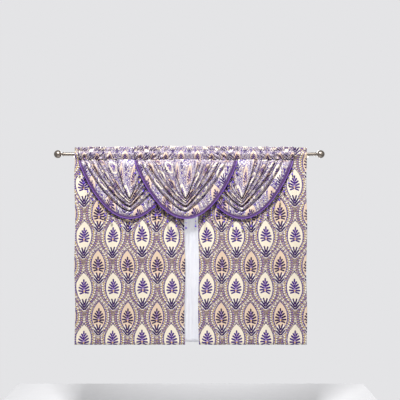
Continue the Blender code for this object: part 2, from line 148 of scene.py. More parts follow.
# Brush lines are drawn about 1 mm wide and 28 mm long, coarser than real ones, and clouds 70 mm wide.
metal_place = add(nickel_tree, "TexCoord", out=3)
brushed_place = add(nickel_tree, "Mapping", {"Vector": metal_place, "Scale": (9.0, 260.0, 260.0)})
brushing = add(nickel_tree, "TexNoise", {"Vector": brushed_place, "Scale": 4.0, "Detail": 4.0})
tarnish = add(nickel_tree, "TexNoise", {"Vector": metal_place, "Scale": 14.0, "Detail": 3.0})
nickel_greys = {0: tarnish, 6: linear("#978B80"), 7: linear("#BDB4AA")}
nickel_colour = add(nickel_tree, "Mix", nickel_greys, out=2, data_type="RGBA")
nickel_rough = add(nickel_tree, "MapRange", {"Value": brushing, "To Min": 0.22, "To Max": 0.40})
nickel_bump = add(nickel_tree, "Bump", {"Strength": 0.15, "Distance": 0.0004, "Height": brushing})
nickel_shader = add(
    nickel_tree,
    "BsdfPrincipled",
    {
        "Base Color": nickel_colour,
        "Metallic": 1.0,
        "Roughness": nickel_rough,
        "Anisotropic": 0.4,
        "Normal": nickel_bump,
    },
)
add(nickel_tree, "OutputMaterial", {"Surface": nickel_shader})


def new_piece(name, points, faces, material, node, uvs=None):
    """A smooth mesh that rides on the frame and stands for one CAD node."""
    mesh = bpy.data.meshes.new(name)
    mesh.from_pydata(points, [], faces)
    mesh.update()
    if uvs is not None:
        layer = mesh.uv_layers.new(name="UVMap")
        corner = np.zeros(len(mesh.loops), np.int32)
        mesh.loops.foreach_get("vertex_index", corner)
        layer.data.foreach_set("uv", np.asarray(uvs, np.float32)[corner].ravel())
    mesh.materials.append(material)
    mesh.shade_smooth()
    piece = bpy.data.objects.new(name, mesh)
    bpy.context.scene.collection.objects.link(piece)
    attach(piece, "root")
    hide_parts(node)
    return piece


def turned(name, profile, y, side, node):
    """A round piece turned about a line along X from (distance along, radius) points."""
    points = []
    faces = []
    for along, radius in profile:
        for step in range(LATHE_SIDES):
            angle = 2.0 * math.pi * step / LATHE_SIDES
            points.append((side * along, y + radius * math.cos(angle), radius * math.sin(angle)))
    for ring in range(len(profile) - 1):
        for step in range(LATHE_SIDES):
            a = ring * LATHE_SIDES + step
            b = ring * LATHE_SIDES + (step + 1) % LATHE_SIDES
            quad = (a, b, b + LATHE_SIDES, a + LATHE_SIDES)
            faces.append(quad[::-1] if side > 0 else quad)
    ends = [tuple(range(LATHE_SIDES)), tuple(range(len(points) - LATHE_SIDES, len(points)))]
    faces.append(ends[0] if side > 0 else ends[0][::-1])
    faces.append(ends[1][::-1] if side > 0 else ends[1])
    piece = new_piece(name, points, faces, nickel, node)
    piece.data.set_sharp_from_angle(angle=math.radians(40.0))
    return piece


def bar_profile(low, high, radius):
    """A straight bar with a small turned edge at each end."""
    edge = 0.0008
    return [(low, radius - edge), (low + edge, radius), (high - edge, radius), (high, radius - edge)]


rod_low, rod_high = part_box("rod")
back_low, back_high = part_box("back_rod")
turned("rod_tube", bar_profile(rod_low.x, rod_high.x, ROD_RADIUS), ROD_Y, 1.0, "rod")
back_profile = bar_profile(back_low.x, back_high.x, BACK_ROD_RADIUS)
turned("back_rod_tube", back_profile, BACK_ROD_Y, 1.0, "back_rod")

FINIAL_GAP = 0.0003
NECK_RADIUS = 0.0102
finial_start = rod_high.x + FINIAL_GAP
finial = [
    (finial_start, 0.0155),
    (finial_start + 0.0008, 0.0170),
    (finial_start + 0.0085, 0.0170),
    (finial_start + 0.0095, 0.0160),
    (finial_start + 0.0098, 0.0140),
    (finial_start + 0.0120, 0.0118),
    (finial_start + 0.0150, NECK_RADIUS),
]
neck_turn = math.asin(NECK_RADIUS / BALL_RADIUS)
for turn in np.linspace(neck_turn, math.pi - 0.02, 28).tolist():
    finial.append((BALL_CENTRE - BALL_RADIUS * math.cos(turn), BALL_RADIUS * math.sin(turn)))
turned("ball_finial_left", finial, ROD_Y, -1.0, "finial_left")
turned("ball_finial_right", finial, ROD_Y, 1.0, "finial_right")

for bracket_name in ("bracket_left", "bracket_right"):
    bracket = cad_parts[bracket_name]
    bracket.data.materials.clear()
    bracket.data.materials.append(nickel)


# Printed satin: polyester satin with a half-drop ogee print of medallions, each with a palmette on a
# cream ground and a sprig below it. The lowered medallions have a peach ground and darker ink, which is
# painted shade, as if they lay in fold valleys. The satin face gives soft broad highlights on the folds.
REPEAT_WIDE = 0.250
REPEAT_HIGH = 0.434
PEACH_DROP = 0.031
NET_DROP = 0.045
LENS_RISE = 0.129
SCROLLS_PER_METRE = 38.0
THREAD_MM = 0.35
HEART_PLACE = (0.0, -0.025, 0.0)
HEART_RADIUS = 0.0068

# Ribbons round a medallion: where each starts, in metres outside its edge, and its colour. The dots on
# them: distance outside the edge, pitch, radius, start and colour.
RIBBONS_REACH = 0.1
RIBBONS = (
    (0.0, "#503E62"),
    (0.0080, "#CDBFA6"),
    (0.0170, "#D2B04A"),
    (0.0220, "#7A6454"),
    (0.0370, "#4A2E62"),
    (0.0420, "#BC9E72"),
    (0.0560, "#5E4A5C"),
    (0.0610, "#A08C72"),
    (0.0740, "#C4AC82"),
    (0.0860, "#8C7868"),
)
RIBBON_DOTS = (
    (0.0295, 0.0210, 0.0070, 0.000, "#F6F0E2"),
    (0.0110, 0.0200, 0.0056, 0.004, "#54309E"),
    (0.0490, 0.0190, 0.0062, 0.008, "#54309E"),
    (0.0670, 0.0200, 0.0060, 0.002, "#F2EAD4"),
    (0.0800, 0.0210, 0.0056, 0.010, "#5C3AB2"),
)

# Brush strokes of the motifs on one side of their middle line, in mm from the medallion's centre:
# start across and up, end across and up, half width.
PALMETTE = (
    (0.0, 54.0, 0.0, 70.0, 6.6),
    (8.0, 34.0, 17.0, 48.0, 7.0),
    (12.0, 13.0, 30.0, 28.0, 7.2),
    (14.0, -7.0, 39.0, 5.0, 7.2),
    (13.0, -24.0, 42.0, -22.0, 7.0),
    (10.0, -37.0, 34.0, -46.0, 6.4),
    (0.0, 0.0, 0.0, 22.0, 5.0),
)
PALMETTE_MIDDLE = ((0.0, -26.0, 0.0, 40.0, 14.0),)
SPRIG = (
    (6.0, -178.0, 33.0, -148.0, 7.2),
    (5.0, -157.0, 30.0, -120.0, 7.0),
    (4.0, -134.0, 15.0, -96.0, 6.6),
)
SPRIG_LIGHT = (
    (5.0, -186.0, 38.0, -154.0, 4.6),
    (8.0, -166.0, 36.0, -128.0, 4.6),
    (8.0, -144.0, 26.0, -104.0, 4.6),
)


def stroke_field(tree, place, strokes):
    """Signed distance to the nearest of some brush strokes, each (x, y, x, y, half width) in mm."""
    nearest = None
    for x0, y0, x1, y1, half in strokes:
        start = (x0 / 1000.0, y0 / 1000.0, 0.0)
        run = ((x1 - x0) / 1000.0, (y1 - y0) / 1000.0, 0.0)
        length_squared = run[0] ** 2 + run[1] ** 2
        away = add(tree, "VectorMath", {0: place, 1: start}, operation="SUBTRACT")
        along = add(tree, "VectorMath", {0: away, 1: run}, out=1, operation="DOT_PRODUCT")
        share = add(tree, "Math", {0: along, 1: length_squared}, operation="DIVIDE", use_clamp=True)
        reach = add(tree, "VectorMath", {0: run, "Scale": share}, operation="SCALE")
        across = add(tree, "VectorMath", {0: away, 1: reach}, out=1, operation="DISTANCE")
        edge = add(tree, "Math", {0: across, 1: half / 1000.0}, operation="SUBTRACT")
        if nearest is None:
            nearest = edge
        else:
            nearest = add(tree, "Math", {0: nearest, 1: edge}, operation="MINIMUM")
    return nearest


def bead_row(tree, band, along, middle, pitch, radius, start):
    """A row of round dots printed along a band, at one distance outside the medallion."""
    off = add(tree, "Math", {0: band, 1: middle}, operation="SUBTRACT")
    moved = add(tree, "Math", {0: along, 1: start}, operation="ADD")
    step = add(tree, "Math", {0: moved, 1: pitch / 2.0, 2: -pitch / 2.0}, operation="WRAP")
    spot = add(tree, "CombineXYZ", {0: off, 1: step})
    size = add(tree, "VectorMath", {0: spot}, out=1, operation="LENGTH")
    return add(tree, "Math", {0: size, 1: radius}, operation="LESS_THAN")


def printed_satin(name, violet_wash, scroll_width):
    """The print on its satin ground, with a violet wash and fine scrolls over its ribbons. The wash is a
    share of 1 and the scroll width is a share of the noise's range."""
    material, tree = blank_material(name)
    cloth = add(tree, "UVMap")
    across = add(tree, "SeparateXYZ", {0: cloth}, out=0)
    up = add(tree, "SeparateXYZ", {0: cloth}, out=1)

    # Half-drop ogee: a wavy net of cells with cream medallions, and ones half a repeat lower that are
    # drawn
    # in painted shade: a peach ground and darker ink.
    half_wide = REPEAT_WIDE / 2.0
    half_high = REPEAT_HIGH / 2.0
    wrapped = add(tree, "Math", {0: across, 1: half_wide, 2: -half_wide}, operation="WRAP")
    cream_x = add(tree, "Math", {0: wrapped}, operation="ABSOLUTE")
    cream_y = add(tree, "Math", {0: up, 1: half_high, 2: -half_high}, operation="WRAP")
    peach_x = add(tree, "Math", {0: half_wide, 1: cream_x}, operation="SUBTRACT")
    lowered = add(tree, "Math", {0: up, 1: half_high}, operation="ADD")
    peach_y = add(tree, "Math", {0: lowered, 1: half_high, 2: -half_high}, operation="WRAP")
    net_y = add(tree, "Math", {0: cream_y, 1: NET_DROP}, operation="ADD")
    net_turn = add(tree, "Math", {0: net_y, 1: 2.0 * math.pi / REPEAT_HIGH}, operation="MULTIPLY")
    net_wave = add(tree, "Math", {0: net_turn}, operation="COSINE")
    quarter = REPEAT_WIDE / 4.0
    ogee = add(tree, "Math", {0: net_wave, 1: quarter, 2: quarter}, operation="MULTIPLY_ADD")
    in_cream = add(tree, "Math", {0: cream_x, 1: ogee}, operation="LESS_THAN")
    gap_x = add(tree, "Math", {0: cream_x, 1: peach_x}, operation="SUBTRACT")
    gap_y = add(tree, "Math", {0: cream_y, 1: peach_y}, operation="SUBTRACT")
    x = add(tree, "Math", {0: gap_x, 1: in_cream, 2: peach_x}, operation="MULTIPLY_ADD")
    y = add(tree, "Math", {0: gap_y, 1: in_cream, 2: peach_y}, operation="MULTIPLY_ADD")
    lift = add(tree, "Math", {0: in_cream, 1: -PEACH_DROP, 2: PEACH_DROP}, operation="MULTIPLY_ADD")
    lens_y = add(tree, "Math", {0: y, 1: lift}, operation="ADD")

    # The medallion: a pointed lens with its half width at each height. The band is how far outside it.
    upper = add(tree, "Math", {0: lens_y, 1: LENS_RISE}, operation="DIVIDE")
    lower_reach = add(tree, "Math", {0: in_cream, 1: 0.015, 2: 0.120}, operation="MULTIPLY_ADD")
    downward = add(tree, "Math", {0: lens_y, 1: -1.0}, operation="MULTIPLY")
    lower = add(tree, "Math", {0: downward, 1: lower_reach}, operation="DIVIDE")
    farther = add(tree, "Math", {0: upper, 1: lower}, operation="MAXIMUM")
    rise = add(tree, "Math", {0: farther, 1: 2.2}, operation="POWER")
    widest = add(tree, "Math", {0: in_cream, 1: 0.009, 2: 0.055}, operation="MULTIPLY_ADD")
    narrowed = add(tree, "Math", {0: rise, 1: widest}, operation="MULTIPLY")
    lens_half = add(tree, "Math", {0: widest, 1: narrowed}, operation="SUBTRACT")
    band = add(tree, "Math", {0: x, 1: lens_half}, operation="SUBTRACT")

    # Ribbons run round the medallions: each starts at a distance outside the medallion's edge.
    stops = tree.nodes.new("ShaderNodeValToRGB")
    stops.color_ramp.interpolation = "CONSTANT"
    while len(stops.color_ramp.elements) < len(RIBBONS):
        stops.color_ramp.elements.new(1.0)
    for element, (distance, ribbon) in zip(stops.color_ramp.elements, RIBBONS):
        element.position = distance / RIBBONS_REACH
        element.color = linear(ribbon)
    ramp_place = add(tree, "Math", {0: band, 1: 1.0 / RIBBONS_REACH}, operation="MULTIPLY")
    tree.links.new(ramp_place, stops.inputs[0])
    colour = stops.outputs[0]
    for middle, pitch, radius, start, dot in RIBBON_DOTS:
        row = bead_row(tree, band, y, middle, pitch, radius, start)
        colour = add(tree, "Mix", {0: row, 6: colour, 7: linear(dot)}, out=2, data_type="RGBA")

    # A short plum cap with gold dots over each medallion's point.
    high_up = add(tree, "Math", {0: lens_y, 1: 0.098}, operation="GREATER_THAN")
    outside = add(tree, "Math", {0: band, 1: 0.0070}, operation="GREATER_THAN")
    near = add(tree, "Math", {0: band, 1: 0.0215}, operation="LESS_THAN")
    beside_lens = add(tree, "Math", {0: outside, 1: near}, operation="MULTIPLY")
    cap = add(tree, "Math", {0: high_up, 1: beside_lens}, operation="MULTIPLY")
    colour = add(tree, "Mix", {0: cap, 6: colour, 7: linear("#4F2D72")}, out=2, data_type="RGBA")
    cap_row = bead_row(tree, band, y, 0.0140, 0.0130, 0.0034, 0.0)
    cap_dots = add(tree, "Math", {0: cap, 1: cap_row}, operation="MULTIPLY")
    colour = add(tree, "Mix", {0: cap_dots, 6: colour, 7: linear("#D8C49A")}, out=2, data_type="RGBA")

    # Scrolls: thin dark lines where a noise crosses its middle value, with pale lines beside them.
    scroll_noise = {"Vector": cloth, "Scale": SCROLLS_PER_METRE, "Detail": 1.0, "Distortion": 1.2}
    drawn = add(tree, "TexNoise", scroll_noise)
    from_middle = add(tree, "Math", {0: drawn, 1: 0.5}, operation="SUBTRACT")
    from_line = add(tree, "Math", {0: from_middle}, operation="ABSOLUTE")
    from_pale = add(tree, "Math", {0: from_line, 1: 0.085}, operation="SUBTRACT")
    beside_pale = add(tree, "Math", {0: from_pale}, operation="ABSOLUTE")
    pale = add(tree, "Math", {0: beside_pale, 1: scroll_width * 0.45}, operation="LESS_THAN")
    colour = add(tree, "Mix", {0: pale, 6: colour, 7: linear("#FBF6E8")}, out=2, data_type="RGBA")
    dark = add(tree, "Math", {0: from_line, 1: scroll_width}, operation="LESS_THAN")
    colour = add(tree, "Mix", {0: dark, 6: colour, 7: linear("#3A1A7C")}, out=2, data_type="RGBA")

    # The medallion's ground, the sprig below it, and its palmette with a lilac middle and a gold heart.
    # The peach ground of the lowered medallions is painted shade: the cream ground darkened as if in a
    # fold's valley.
    grounds_with_painted_shade = {0: in_cream, 6: linear("#E8CFB3"), 7: linear("#F6EBD4")}
    ground = add(tree, "Mix", grounds_with_painted_shade, out=2, data_type="RGBA")
    inside = add(tree, "Math", {0: band, 1: 0.0}, operation="LESS_THAN")
    colour = add(tree, "Mix", {0: inside, 6: colour, 7: ground}, out=2, data_type="RGBA")
    sprig_place = add(tree, "CombineXYZ", {0: x, 1: y})
    lens_place = add(tree, "CombineXYZ", {0: x, 1: lens_y})
    # The darker ink of the lowered medallions' palmettes is painted shade of the same violet ink.
    inks_with_painted_shade = {0: in_cream, 6: linear("#24043C"), 7: linear("#36086E")}
    palmette_ink_with_painted_shade = add(tree, "Mix", inks_with_painted_shade, out=2, data_type="RGBA")
    for place, strokes, strength, ink in (
        (sprig_place, SPRIG_LIGHT, 1.0, linear("#FBF6EA")),
        (sprig_place, SPRIG, 1.0, linear("#2E0A4A")),
        (lens_place, PALMETTE_MIDDLE, 0.80, linear("#9C7CBE")),
        (lens_place, PALMETTE, 1.0, palmette_ink_with_painted_shade),
    ):
        stroke = stroke_field(tree, place, strokes)
        drawn_in = add(tree, "Math", {0: stroke, 1: 0.0}, operation="LESS_THAN")
        share = add(tree, "Math", {0: drawn_in, 1: strength}, operation="MULTIPLY")
        colour = add(tree, "Mix", {0: share, 6: colour, 7: ink}, out=2, data_type="RGBA")
    from_heart = add(tree, "VectorMath", {0: lens_place, 1: HEART_PLACE}, out=1, operation="DISTANCE")
    heart = add(tree, "Math", {0: from_heart, 1: HEART_RADIUS}, operation="LESS_THAN")
    colour = add(tree, "Mix", {0: heart, 6: colour, 7: linear("#EBC65A")}, out=2, data_type="RGBA")

    # Satin face: smooth enough for a broad soft highlight, cloudy over about 40 mm, with a fine thread
    # grain that only shows close up.
    mottle = add(tree, "TexNoise", {"Vector": cloth, "Scale": 26.0, "Detail": 3.0})
    wash = add(tree, "Math", {0: mottle, 1: violet_wash}, operation="MULTIPLY")
    colour = add(tree, "Mix", {0: wash, 6: colour, 7: linear("#6F42D2")}, out=2, data_type="RGBA")
    turns = 2.0 * math.pi / (THREAD_MM / 1000.0)
    warp_turn = add(tree, "Math", {0: across, 1: turns}, operation="MULTIPLY")
    weft_turn = add(tree, "Math", {0: up, 1: turns}, operation="MULTIPLY")
    warp = add(tree, "Math", {0: warp_turn}, operation="SINE")
    weft = add(tree, "Math", {0: weft_turn}, operation="SINE")
    weave = add(tree, "Math", {0: weft, 1: 0.5, 2: warp}, operation="MULTIPLY_ADD")
    grain = add(tree, "Bump", {"Strength": 0.12, "Distance": 0.0002, "Height": weave})
    gloss = add(tree, "MapRange", {"Value": mottle, "To Min": 0.36, "To Max": 0.50})
    shader = add(
        tree,
        "BsdfPrincipled",
        {
            "Base Color": colour,
            "Roughness": gloss,
            "Specular IOR Level": 0.45,
            "Sheen Weight": 0.06,
            "Sheen Roughness": 0.40,
            "Normal": grain,
        },
    )
    add(tree, "OutputMaterial", {"Surface": shader})
    return material


panel_satin = printed_satin("printed_satin_panels", 0.04, 0.010)
swag_satin = printed_satin("printed_satin_swags", 0.16, 0.046)


# Panels: one length of printed satin each. The top is folded over the rod and stitched below it as a
# pocket, with a small ruffle left standing above, and the cloth hangs in soft shallow folds to a hem.
POCKET_BOTTOM = -0.043
PINCH_RISE = 0.005
SLEEVE_RADIUS = 0.0160
BACK_BULGE = 0.0012
LAYER_STEP = 0.0030
LAYER_ROOM = 0.0035
RUFFLE_TOP = (0.0565, 0.0615, 0.0665)
RUFFLE_WAVE = 0.0022
CLOTH = 0.0010
PANEL_FOLD = 0.0080
PANEL_SIDE_GAP = 0.003
PANEL_COLUMNS = 170
PANEL_DROPS = 70
GATHER_PITCH = 0.021
HEM_HEIGHT = 0.10


def smooth_step(t):
    """0 below 0, 1 above 1 and a smooth rise between."""
    t = np.clip(t, 0.0, 1.0)
    return t * t * (3.0 - 2.0 * t)


def heading_wave(x, z):
    """The slow sway of everything that stands above the rod."""
    sway = 0.65 * np.sin(x * 34.0 + 0.8) + 0.35 * np.sin(x * 19.0 + 2.1)
    return RUFFLE_WAVE * smooth_step((z - 0.018) / 0.030) * sway


def ruffle_edge(x):
    """How far a ruffle's top edge stands above its mean height."""
    return 0.0022 * np.sin(x * 31.0 + 1.0) + 0.0012 * np.sin(x * 43.0)


def panel_fold(x, depth):
    """How far the panel's folds stand forward of the rod's plane."""
    grow = 0.25 + 0.75 * smooth_step(depth / 0.30)
    lean = 0.12 * np.sin(depth * 3.1 + x * 2.0)
    main = 0.70 * np.sin(2.0 * math.pi * x / 0.205 + 0.9 + lean)
    return PANEL_FOLD * grow * (main + 0.30 * np.sin(2.0 * math.pi * x / 0.310 + 2.4))


def pocket_gather(x, z):
    """The fine gathers of a panel's pocket and ruffle, from -1 to 1."""
    return np.sin(x * 2.0 * math.pi / GATHER_PITCH + 1.5 * np.sin(x * 37.0) + z * 40.0)


def panel_drift(x, depth):
    """Slight sideways sway of the panel's threads, which makes its edges uneven."""
    return 0.004 * smooth_step(depth / 0.1) * np.sin(depth * 8.5 + x * 3.0)


def smooth_path(corners, step):
    """A path through some corners, rounded by a Catmull-Rom curve and evenly spaced along it."""
    corners = np.asarray(corners, float)
    padded = np.vstack([2 * corners[0] - corners[1], corners, 2 * corners[-1] - corners[-2]])
    curve = []
    for index in range(len(corners) - 1):
        a, b, c, d = padded[index : index + 4]
        for t in np.linspace(0.0, 1.0, 12, endpoint=False):
            square = (2.0 * a - 5.0 * b + 4.0 * c - d) * t**2
            cube = (3.0 * b - a - 3.0 * c + d) * t**3
            curve.append((2.0 * b + (c - a) * t + square + cube) / 2.0)
    curve.append(corners[-1])
    curve = np.array(curve)
    length = np.concatenate([[0.0], np.cumsum(np.linalg.norm(np.diff(curve, axis=0), axis=1))])
    stops = np.linspace(0.0, length[-1], max(int(round(length[-1] / step)), 2) + 1)
    return np.stack([np.interp(stops, length, curve[:, axis]) for axis in range(2)], axis=1)


def pocket_corners(radius, angles, sign):
    """Corners (forward, up) on the pocket round the rod."""
    turns = np.radians(angles)
    return [(sign * radius * math.cos(turn), radius * math.sin(turn)) for turn in turns]


def grid_faces(rows, columns):
    """Quads of a grid of points, row by row."""
    a = np.arange((rows - 1) * columns).reshape(rows - 1, columns)[:, :-1].ravel()
    return np.stack([a, a + columns, a + columns + 1, a + 1], axis=1).tolist()


def cloth_piece(name, grid, uv, material, node, thickness=CLOTH):
    """A cloth of some thickness on a grid of points, with its uv map in metres of flat cloth."""
    rows, columns = grid.shape[:2]
    piece = new_piece(
        name,
        grid.reshape(-1, 3).tolist(),
        grid_faces(rows, columns),
        material,
        node,
        uv.reshape(-1, 2),
    )
    solidify = piece.modifiers.new("thickness", "SOLIDIFY")
    solidify.thickness = thickness
    solidify.offset = 0.0
    return piece


def flat_lengths(grid, axis):
    """Length along the cloth from its first row or column to each point."""
    steps = np.linalg.norm(np.diff(grid, axis=axis), axis=2)
    start = np.zeros_like(np.take(steps, [0], axis=axis))
    return np.concatenate([start, np.cumsum(steps, axis=axis)], axis=axis)


def hung_panel(name, node, print_start):
    """A panel folded over the front rod, from its back seam over the ruffle and down to its hem."""
    low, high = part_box(node)
    x = np.linspace(low.x + PANEL_SIDE_GAP, high.x - PANEL_SIDE_GAP, PANEL_COLUMNS)
    head = [(-0.0022, POCKET_BOTTOM + 0.001)]
    head += pocket_corners(SLEEVE_RADIUS + BACK_BULGE, (-5.0, 25.0, 50.0), -1.0)
    head += [(-0.0012, SLEEVE_RADIUS + PINCH_RISE), (-0.0011, RUFFLE_TOP[0] - 0.003)]
    head += [(0.0, RUFFLE_TOP[0]), (0.0011, RUFFLE_TOP[0] - 0.003)]
    head += [(0.0012, SLEEVE_RADIUS + PINCH_RISE)]
    head += pocket_corners(SLEEVE_RADIUS, (70.0, 40.0, 10.0, -20.0), 1.0)
    head += [(0.0008, POCKET_BOTTOM)]
    head = smooth_path(head, 0.005)
    depth = np.linspace(0.012, POCKET_BOTTOM - low.z, PANEL_DROPS)
    rows = []
    bare_end = smooth_step((0.040 - np.minimum(x - low.x, high.x - x)) / 0.020)
    for forward, z in head:
        above_pinch = 1.0 + 2.0 * (z > 0.02)
        pucker = (0.3 + 2.2 * bare_end) * 0.0004 * (1.0 + pocket_gather(x, z)) * above_pinch
        out = forward + np.sign(forward) * pucker
        edge = ruffle_edge(x) * smooth_step((z - 0.03) / 0.02)
        rows.append(np.stack([x, ROD_Y - out - heading_wave(x, z), z + edge], axis=1))
    for drop in depth:
        fine = 0.0012 * np.exp(-drop / 0.06) * pocket_gather(x, 0.0)
        forward = panel_fold(x, drop) * smooth_step(drop / 0.06) + fine
        hem = 0.0006 * smooth_step((drop - depth[-1] + HEM_HEIGHT) / 0.004)
        place_x = x + panel_drift(x, drop)
        rows.append(np.stack([place_x, ROD_Y - forward - hem, POCKET_BOTTOM - drop + 0 * x], axis=1))
    grid = np.array(rows)
    down = flat_lengths(grid, 0)
    along = flat_lengths(grid, 1)
    front = len(head)
    across = along[front : front + 1] + 0 * along + print_start[0]
    uv = np.stack([across, print_start[1] - down], axis=2)
    piece = cloth_piece(name, grid, uv, panel_satin, node)
    return piece


hung_panel("panel_cloth_left", "panel_left", (-0.077, -0.005))
hung_panel("panel_cloth_right", "panel_right", (-0.072, -0.005))


# Sheer: a length of white polyester voile on the thin back rod, with a plain stitched pocket. Its open
# weave lets light through, so it glows softly where nothing stands in front, in many upright folds.
SHEER_POCKET_BOTTOM = -0.026
SHEER_TOP = 0.036
SHEER_SIDE_GAP = 0.002
SHEER_COLUMNS = 280
SHEER_DROPS = 45
VOILE_THREAD_MM = 1.65

voile, voile_tree = blank_material("white_voile")
voile_place = add(voile_tree, "UVMap")
# The voile's threads are drawn 1.65 mm apart, coarser than the real ones, so that they show.
voile_scale = 2.0 * math.pi / 20.0 / (VOILE_THREAD_MM / 1000.0)
voile_waves = {"Vector": voile_place, "Scale": voile_scale, "Distortion": 0.6, "Detail": 1.0}
voile_threads = add(voile_tree, "TexWave", voile_waves)
voile_cloud = add(voile_tree, "TexNoise", {"Vector": voile_place, "Scale": 9.0, "Detail": 2.0})
voile_whites = {0: voile_cloud, 6: linear("#EDEEF4"), 7: linear("#FAFAFC")}
voile_colour = add(voile_tree, "Mix", voile_whites, out=2, data_type="RGBA")
voile_bump = add(voile_tree, "Bump", {"Strength": 0.2, "Distance": 0.0003, "Height": voile_threads})
voile_shader = add(
    voile_tree,
    "BsdfPrincipled",
    {
        "Base Color": voile_colour,
        "Roughness": 0.75,
        "Alpha": 0.78,
        "Sheen Weight": 0.3,
        "Normal": voile_bump,
    },
)
voile_glow = add(voile_tree, "BsdfTranslucent", {"Color": voile_colour, "Normal": voile_bump})
voile_both = add(voile_tree, "MixShader", {0: 0.55, 1: voile_shader, 2: voile_glow})
add(voile_tree, "OutputMaterial", {"Surface": voile_both})

sheer_low, sheer_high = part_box("sheer")
sheer_x = np.linspace(sheer_low.x + SHEER_SIDE_GAP, sheer_high.x - SHEER_SIDE_GAP, SHEER_COLUMNS)
sheer_head = [(-0.0018, SHEER_POCKET_BOTTOM + 0.001)]
sheer_head += pocket_corners(BACK_ROD_RADIUS + 0.0035, (-5.0, 25.0, 50.0), -1.0)
sheer_head += [(-0.0010, BACK_ROD_RADIUS + 0.008), (-0.0009, SHEER_TOP - 0.002), (0.0, SHEER_TOP)]
sheer_head += [(0.0009, SHEER_TOP - 0.002), (0.0010, BACK_ROD_RADIUS + 0.008)]
sheer_head += pocket_corners(BACK_ROD_RADIUS + 0.0032, (50.0, 25.0, -5.0), 1.0)
sheer_head += [(0.0006, SHEER_POCKET_BOTTOM)]
sheer_rows = []
for forward, z in smooth_path(sheer_head, 0.006):
    gather = 0.0006 * (1.0 + np.sin(sheer_x * 2.0 * math.pi / 0.017 + 1.2 * np.sin(sheer_x * 23.0)))
    place_y = BACK_ROD_Y - forward - np.sign(forward) * gather
    sheer_rows.append(np.stack([sheer_x, place_y, z + 0 * sheer_x], axis=1))
for drop in np.linspace(0.010, SHEER_POCKET_BOTTOM - sheer_low.z, SHEER_DROPS):
    main = 0.0070 * np.sin(2.0 * math.pi * sheer_x / 0.345 + 0.4 * math.sin(drop * 2.0))
    small = 0.0062 * np.sin(2.0 * math.pi * sheer_x / 0.062 + 0.7 * np.sin(sheer_x * 17.0 + drop * 0.8))
    grow = 0.25 + 0.75 * smooth_step(drop / 0.30)
    place_y = BACK_ROD_Y - (main + small) * grow
    sheer_rows.append(np.stack([sheer_x, place_y, SHEER_POCKET_BOTTOM - drop + 0 * sheer_x], axis=1))
sheer_grid = np.array(sheer_rows)
sheer_uv = np.stack([flat_lengths(sheer_grid, 1), -flat_lengths(sheer_grid, 0)], axis=2)
sheer = cloth_piece("sheer_voile", sheer_grid, sheer_uv, voile, "sheer", 0.0005)


# Swag headings: a gathered strip of the same satin folded over the rod, with a ruffle above it and the
# swag sewn to its front edge. The gathers crowd towards the corners and are flatter in the middle.
SWAG_CENTRES = {"left": -0.496, "middle": -0.027, "right": 0.442}
HEADING_HALF_WIDTH = 0.434
HEADING_COLUMNS = 300
HEADING_FOLD_PITCH = 0.054
COVER_MARGIN = 0.015
POCKET_GATHER = 0.0170
RUFFLE_GATHER = 0.0090
RUFFLE_GATHER_RISE = 0.0080


def swag_heading(side):
    """One heading, from its seam with the swag, up over the ruffle and down behind the rod."""
    layer = 2 if side == "middle" else 1
    centre = SWAG_CENTRES[side]
    radius = SLEEVE_RADIUS + LAYER_STEP * layer
    room = LAYER_ROOM * layer
    top = RUFFLE_TOP[layer]
    across = np.linspace(-1.0, 1.0, HEADING_COLUMNS)
    x = centre + across * HEADING_HALF_WIDTH
    corners = [(room, POCKET_BOTTOM)]
    corners += pocket_corners(radius, (-20.0, 10.0, 40.0, 70.0), 1.0)
    corners += [(room + 0.0005, radius + PINCH_RISE), (room, top - 0.004), (0.0, top)]
    corners += [(-room, top - 0.004), (-room - 0.0005, radius + PINCH_RISE)]
    corners += pocket_corners(radius + BACK_BULGE, (50.0, 25.0, -5.0), -1.0)
    corners += [(-room - 0.003, -0.036)]
    path = smooth_path(corners, 0.0042)
    crowd = 0.25 + 0.75 * smooth_step((np.abs(across) - 0.12) / 0.45)
    covered = np.zeros_like(x)
    if side != "middle":
        from_middle = np.abs(x - SWAG_CENTRES["middle"])
        covered = smooth_step((HEADING_HALF_WIDTH + COVER_MARGIN - from_middle) / 0.010)
    rows = []
    for forward, z in path:
        lean = (z - 0.02) * 0.9 * np.sign(across) * crowd
        phase = 2.0 * math.pi * (x + lean) / HEADING_FOLD_PITCH
        phase += 1.3 * np.sin((x + lean) * 41.0) + 0.8 * np.sin(x * 97.0)
        gather = np.abs(np.sin(phase)) ** 1.8
        near_pinch = math.exp(-(((z - radius - PINCH_RISE) / 0.005) ** 2))
        if z > radius + PINCH_RISE:
            above = float(smooth_step((z - radius - PINCH_RISE) / 0.020))
            size = RUFFLE_GATHER + RUFFLE_GATHER_RISE * above
        else:
            size = POCKET_GATHER
        size = size * (1.0 - 0.45 * near_pinch)
        size = size * crowd * (1.0 - covered) + 0.0008 * covered
        rim = ruffle_edge(x) + 0.0022 * (1.0 - covered) * crowd * np.sin(phase * 0.8 + 0.7)
        rise = smooth_step((z - 0.03) / 0.02)
        push = np.sign(forward) if abs(forward) > 0.001 else 0.0
        place_y = ROD_Y - forward - push * gather * size - heading_wave(x, z)
        rows.append(np.stack([x, place_y, z + rim * rise], axis=1))
    grid = np.array(rows)
    along = np.cumsum(np.concatenate([[0.0], (1.6 + 0.8 * crowd[1:]) * np.diff(x)]))
    down = flat_lengths(grid, 0)
    uv = np.stack([along + 0 * down, down * 1.6 + 0.17], axis=2)
    piece = cloth_piece(f"heading_cloth_{side}", grid, uv, swag_satin, f"heading_{side}")


